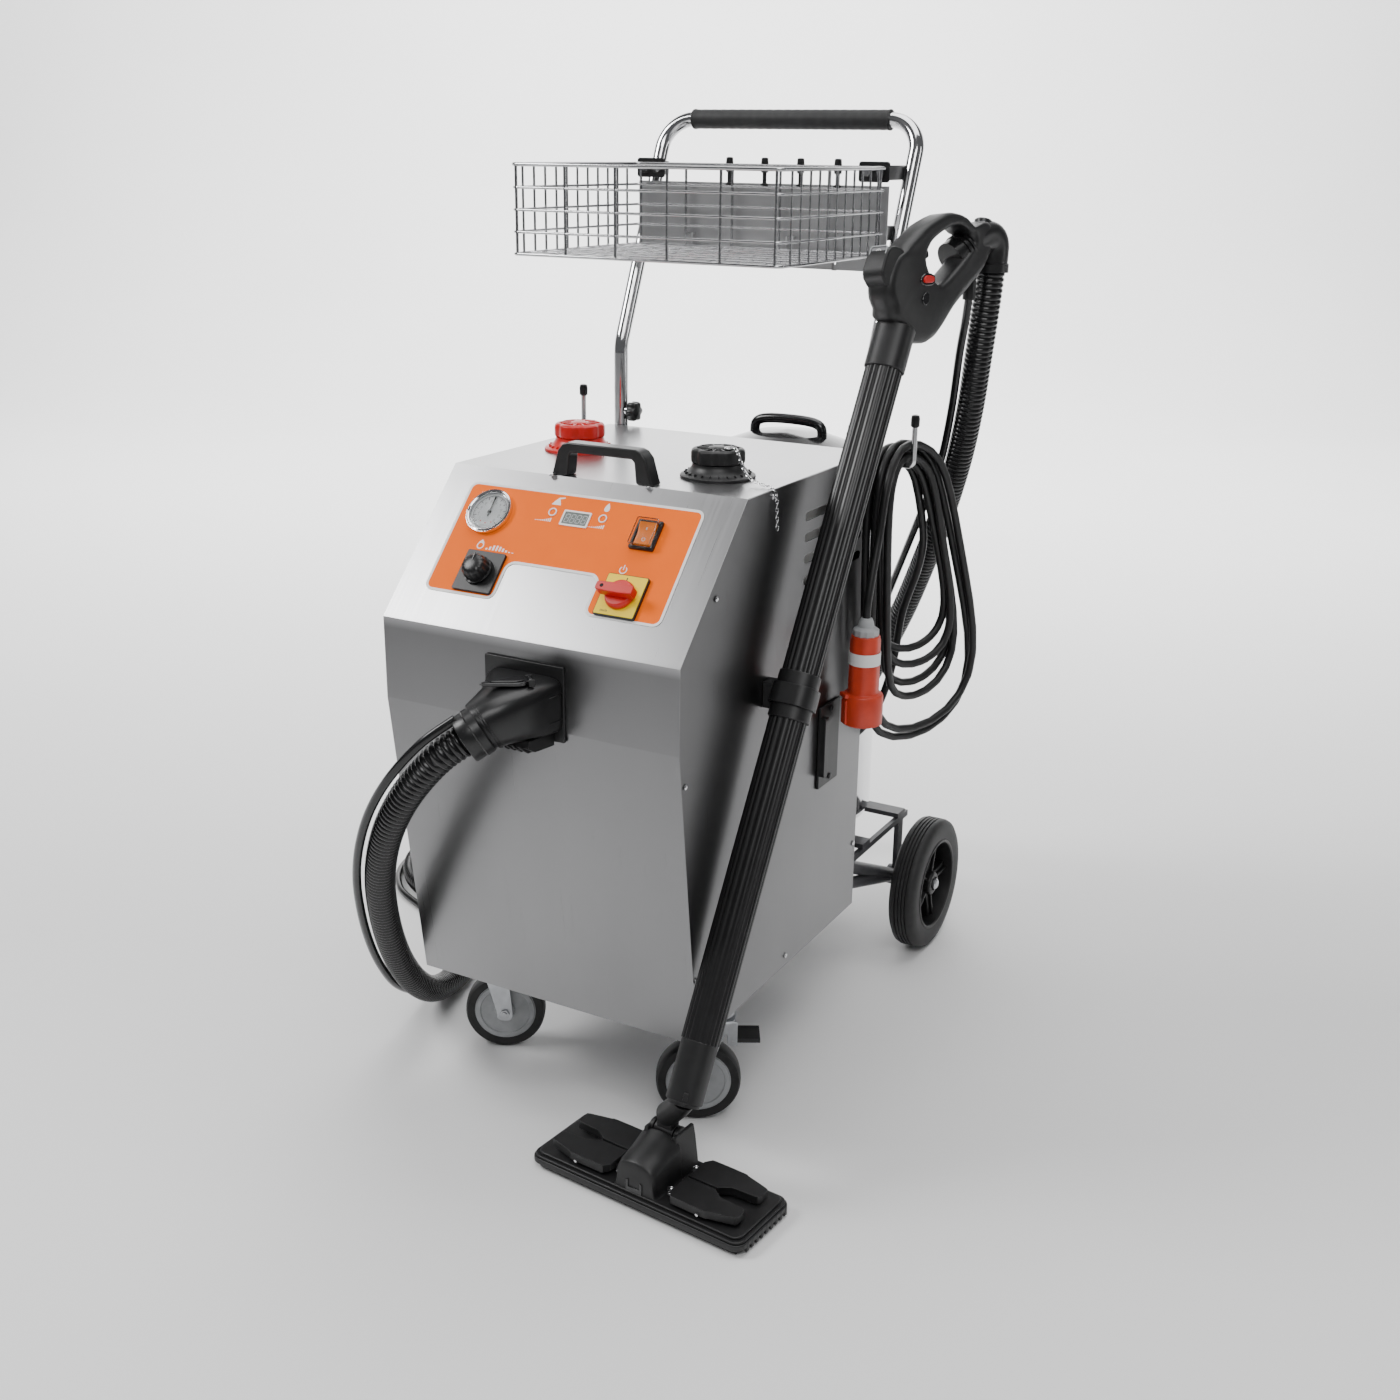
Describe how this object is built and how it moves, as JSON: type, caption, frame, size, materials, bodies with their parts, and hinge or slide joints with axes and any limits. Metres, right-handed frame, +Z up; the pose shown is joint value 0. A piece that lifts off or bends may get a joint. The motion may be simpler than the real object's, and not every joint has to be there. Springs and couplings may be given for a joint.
{
  "type": "wheeled steam cleaner",
  "caption": "Wheeled steam and vacuum cleaner with a sloped control face, push handle, tool tray, wire basket, rear vacuum drum, upright wand with floor tool, hose and hung mains lead.",
  "frame": {"origin": "on the floor, on the centre plane, below the front kink of the body", "axes": "+Z up, +X towards the side that carries the wand, +Y from the control face to the rear wheels"},
  "size_m": [1.1187, 1.2154, 1.3578],
  "materials": {
    "steel_dark": "satin",
    "stainless": "brushed",
    "orange_film": "satin",
    "chrome_trim": "polished",
    "black_plastic": "satin",
    "clear_glass": "clear",
    "grey_plastic": "satin",
    "yellow_plastic": "gloss",
    "amber_plastic": "gloss",
    "red_plastic": "gloss",
    "white_plastic": "satin",
    "tyre_rubber": "matte",
    "zinc_steel": "zinc plated",
    "gloss_black_plastic": "gloss",
    "black_rubber": "satin"
  },
  "bodies": {
    "body": {"chassis": "steel_dark", "front_cover": "stainless", "side_panels": "stainless", "rear_panel": "stainless", "control_overlay": "orange_film", "pressure_gauge": "chrome_trim", "gauge_glass": "clear_glass", "display_module": "grey_plastic", "switch_frames": "yellow_plastic", "deck_handle": "black_plastic", "water_filler": "black_plastic", "cap_chain": "chrome_trim", "tanks": "white_plastic", "boiler": "stainless", "water_pump": "steel_dark", "suction_duct": "grey_plastic", "hose_coupling": "black_plastic", "handle_posts": "chrome_trim", "storage_hooks": "chrome_trim", "rear_frame": "steel_dark", "vacuum_drum": "chrome_trim", "vacuum_head": "gloss_black_plastic", "wand_tubes": "black_plastic", "gun_body": "black_plastic", "suction_hose": "black_rubber", "steam_line": "black_rubber", "power_lead": "black_rubber", "lead_hank": "black_rubber", "mains_plug": "red_plastic"},
    "needle": {"gauge_needle": "black_plastic"},
    "main_switch": {"main_switch_knob": "red_plastic"},
    "regulator": {"regulator_knob": "black_plastic"},
    "rocker": {"rocker_switch": "amber_plastic"},
    "water_cap": {"water_cap": "black_plastic"},
    "detergent_cap": {"detergent_cap": "red_plastic"},
    "latch": {"coupling_latch": "black_plastic"},
    "handle": {"handle_frame": "chrome_trim", "handle_grip": "black_plastic", "tool_tray": "stainless", "wire_basket": "chrome_trim"},
    "star_left": {"star_knob_left": "black_plastic"},
    "star_right": {"star_knob_right": "black_plastic"},
    "wheel_left": {"wheel_hub_left": "black_plastic", "wheel_tyre_left": "tyre_rubber"},
    "wheel_right": {"wheel_hub_right": "black_plastic", "wheel_tyre_right": "tyre_rubber"},
    "caster_left": {"caster_fork_left": "zinc_steel"},
    "caster_roller_left": {"caster_wheel_left": "grey_plastic"},
    "caster_right": {"caster_fork_right": "zinc_steel"},
    "caster_roller_right": {"caster_wheel_right": "grey_plastic"},
    "brake": {"brake_pedal": "black_plastic"},
    "trigger": {"gun_trigger": "black_plastic"},
    "lock": {"gun_lock": "red_plastic"},
    "button_up": {"gun_button_up": "grey_plastic"},
    "button_down": {"gun_button_down": "grey_plastic"},
    "tool": {"floor_tool": "black_plastic"},
    "clip_front_left": {"tool_clip_front_left": "black_plastic"},
    "clip_front_right": {"tool_clip_front_right": "black_plastic"},
    "clip_rear_left": {"tool_clip_rear_left": "black_plastic"},
    "clip_rear_right": {"tool_clip_rear_right": "black_plastic"}
  },
  "joints": [
    {"name": "needle_turn", "type": "hinge", "parent": "body", "child": "needle", "pos_m": [-0.1335, 0.11723, 0.84162], "axis": [0, -0.7274, 0.6863], "range_deg": [-135, 135]},
    {"name": "main_switch_turn", "type": "hinge", "parent": "body", "child": "main_switch", "pos_m": [0.1105, 0.04866, 0.77914], "axis": [0, -0.7274, 0.6863], "range_deg": [-90, 0]},
    {"name": "regulator_turn", "type": "hinge", "parent": "body", "child": "regulator", "pos_m": [-0.108, 0.05072, 0.78132], "axis": [0, -0.7274, 0.6863], "range_deg": [-135, 135]},
    {"name": "rocker_tilt", "type": "hinge", "parent": "body", "child": "rocker", "pos_m": [0.109, 0.11658, 0.83948], "axis": [-1, 0, 0], "range_deg": [0, 16]},
    {"name": "water_cap_turn", "type": "hinge", "parent": "body", "child": "water_cap", "pos_m": [0.125, 0.274, 0.92], "axis": [0, 0, 1], "range_deg": [0, 360]},
    {"name": "detergent_cap_turn", "type": "hinge", "parent": "body", "child": "detergent_cap", "pos_m": [-0.139, 0.346, 0.92], "axis": [0, 0, 1], "range_deg": [0, 360]},
    {"name": "latch_lift", "type": "hinge", "parent": "body", "child": "latch", "pos_m": [0.03521, -0.03879, 0.6794], "axis": [-0.7071, 0.7071, 0], "range_deg": [0, 15], "stiffness_Nm_per_rad": 0.05},
    {"name": "handle_raise", "type": "slide", "parent": "body", "child": "handle", "axis": [0, 0, 1], "range_m": [0, 0.12]},
    {"name": "star_knob_left_turn", "type": "hinge", "parent": "body", "child": "star_left", "pos_m": [-0.211, 0.576, 0.911], "axis": [1, 0, 0], "range_deg": [0, 360]},
    {"name": "star_knob_right_turn", "type": "hinge", "parent": "body", "child": "star_right", "pos_m": [0.211, 0.576, 0.911], "axis": [1, 0, 0], "range_deg": [0, 360]},
    {"name": "wheel_left_spin", "type": "hinge", "parent": "body", "child": "wheel_left", "pos_m": [-0.249, 0.817, 0.112], "axis": [1, 0, 0], "continuous": true},
    {"name": "wheel_right_spin", "type": "hinge", "parent": "body", "child": "wheel_right", "pos_m": [0.249, 0.817, 0.112], "axis": [1, 0, 0], "continuous": true},
    {"name": "caster_left_swivel", "type": "hinge", "parent": "body", "child": "caster_left", "pos_m": [-0.196, 0.165, 0.16], "axis": [0, 0, 1], "continuous": true},
    {"name": "caster_wheel_left_spin", "type": "hinge", "parent": "caster_left", "child": "caster_roller_left", "pos_m": [-0.17435, 0.1775, 0.06], "axis": [-0.5, 0.866, 0], "continuous": true},
    {"name": "caster_right_swivel", "type": "hinge", "parent": "body", "child": "caster_right", "pos_m": [0.196, 0.165, 0.16], "axis": [0, 0, 1], "continuous": true},
    {"name": "caster_wheel_right_spin", "type": "hinge", "parent": "caster_right", "child": "caster_roller_right", "pos_m": [0.17435, 0.1525, 0.06], "axis": [0.5, -0.866, 0], "continuous": true},
    {"name": "brake_press", "type": "hinge", "parent": "caster_right", "child": "brake", "pos_m": [0.21505, 0.176, 0.128], "axis": [-0.5, 0.866, 0], "range_deg": [0, 15]},
    {"name": "trigger_pull", "type": "hinge", "parent": "body", "child": "trigger", "pos_m": [0.28173, 0.54383, 1.19722], "axis": [-0.9551, 0.2705, -0.1211], "range_deg": [0, 6], "stiffness_Nm_per_rad": 0.5, "springref_deg": -5.73},
    {"name": "lock_slide", "type": "slide", "parent": "body", "child": "lock", "axis": [-0.2952, -0.8326, 0.4686], "range_m": [0, 0.004]},
    {"name": "button_up_press", "type": "slide", "parent": "body", "child": "button_up", "axis": [0.2952, 0.8326, -0.4686], "range_m": [0, 0.0015], "stiffness_N_per_m": 300, "springref_m": -0.0005},
    {"name": "button_down_press", "type": "slide", "parent": "body", "child": "button_down", "axis": [0.2952, 0.8326, -0.4686], "range_m": [0, 0.0015], "stiffness_N_per_m": 300, "springref_m": -0.0005},
    {"name": "floor_tool_tilt", "type": "hinge", "parent": "body", "child": "tool", "pos_m": [0.21719, -0.00812, 0.078], "axis": [0.9945, -0.1045, 0], "range_deg": [-12, 12]},
    {"name": "clip_front_left_press", "type": "hinge", "parent": "tool", "child": "clip_front_left", "pos_m": [0.11492, -0.04362, 0.031], "axis": [0.1045, 0.9945, 0], "range_deg": [0, 4], "stiffness_Nm_per_rad": 0.6, "springref_deg": -2.86},
    {"name": "clip_front_right_press", "type": "hinge", "parent": "tool", "child": "clip_front_right", "pos_m": [0.30985, -0.06411, 0.031], "axis": [-0.1045, -0.9945, 0], "range_deg": [0, 4], "stiffness_Nm_per_rad": 0.6, "springref_deg": -2.86},
    {"name": "clip_rear_left_press", "type": "hinge", "parent": "tool", "child": "clip_rear_left", "pos_m": [0.12015, 0.00611, 0.031], "axis": [0.1045, 0.9945, 0], "range_deg": [0, 4], "stiffness_Nm_per_rad": 0.6, "springref_deg": -2.86},
    {"name": "clip_rear_right_press", "type": "hinge", "parent": "tool", "child": "clip_rear_right", "pos_m": [0.31508, -0.01438, 0.031], "axis": [-0.1045, -0.9945, 0], "range_deg": [0, 4], "stiffness_Nm_per_rad": 0.6, "springref_deg": -2.86}
  ]
}
